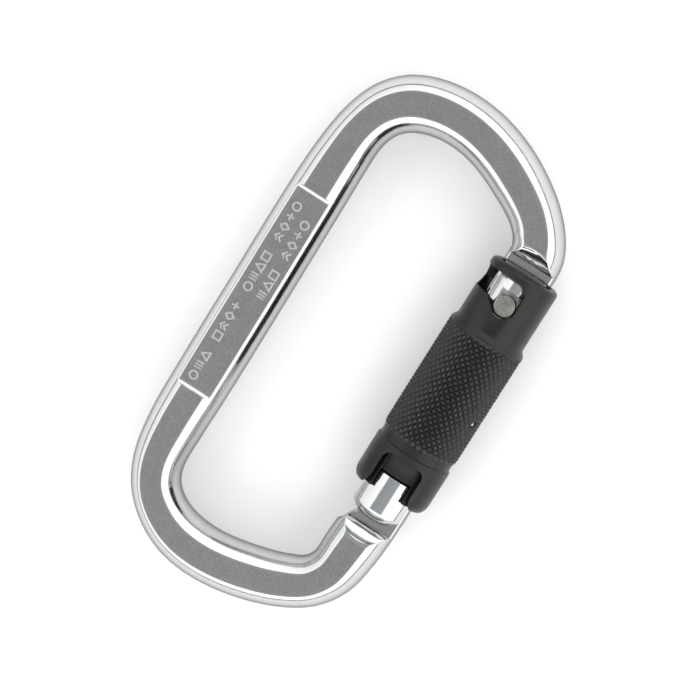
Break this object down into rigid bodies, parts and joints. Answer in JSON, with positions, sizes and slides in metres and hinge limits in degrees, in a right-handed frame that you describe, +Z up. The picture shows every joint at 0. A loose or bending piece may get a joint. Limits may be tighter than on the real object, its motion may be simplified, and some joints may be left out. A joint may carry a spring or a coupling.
{
  "type": "locking carabiner",
  "caption": "Bent bar connector, D to oval, with a hinged gate inside a black knurled twist sleeve that is pulled down and turned to unlock.",
  "frame": {"origin": "middle of the closed carabiner's bounding box", "axes": "+X from the spine to the gate, +Y along the gate towards the nose, +Z up through the thickness, lying flat"},
  "size_m": [0.0585, 0.1139, 0.0168],
  "materials": {
    "bar_metal": "polished sides, satin front and back flats",
    "gate_metal": "polished",
    "pin_steel": "satin",
    "spring_steel": "drawn wire",
    "sleeve_black": "black anodised, diamond knurl in the middle",
    "bush_plastic": "moulded"
  },
  "bodies": {
    "frame": {"frame_bar": "bar_metal"},
    "gate": {"gate_bar": "gate_metal", "hinge_pin": "pin_steel", "guide_pin": "pin_steel", "gate_spring": "spring_steel"},
    "plunger": {"gate_plunger": "pin_steel"},
    "bush": {"guide_bush": "bush_plastic", "thrust_washer": "pin_steel", "sleeve_spring": "spring_steel"},
    "sleeve": {"locking_sleeve": "sleeve_black", "sleeve_key_pin": "pin_steel"}
  },
  "joints": [
    {"name": "gate_swing", "type": "hinge", "parent": "frame", "child": "gate", "pos_m": [0.0209, -0.0199, 0], "axis": [0, 0, 1], "range_deg": [0, 27], "stiffness_Nm_per_rad": 0.5, "springref_deg": -20.05},
    {"name": "plunger_slide", "type": "slide", "parent": "gate", "child": "plunger", "axis": [0, 1, 0], "range_m": [0, 0.0013], "deforming": ["gate_spring"]},
    {"name": "sleeve_turn", "type": "hinge", "parent": "gate", "child": "bush", "pos_m": [0.0209, 0, 0], "axis": [0, 1, 0], "range_deg": [0, 90], "stiffness_Nm_per_rad": 0.02, "springref_deg": -34.38},
    {"name": "sleeve_slide", "type": "slide", "parent": "bush", "child": "sleeve", "axis": [0, -1, 0], "range_m": [0, 0.0029], "stiffness_N_per_m": 1400, "springref_m": -0.0036, "deforming": ["sleeve_spring"]}
  ],
  "couplings": [
    {"joint": "plunger_slide", "follows": "gate_swing", "m_per_rad": 0.0025465}
  ]
}
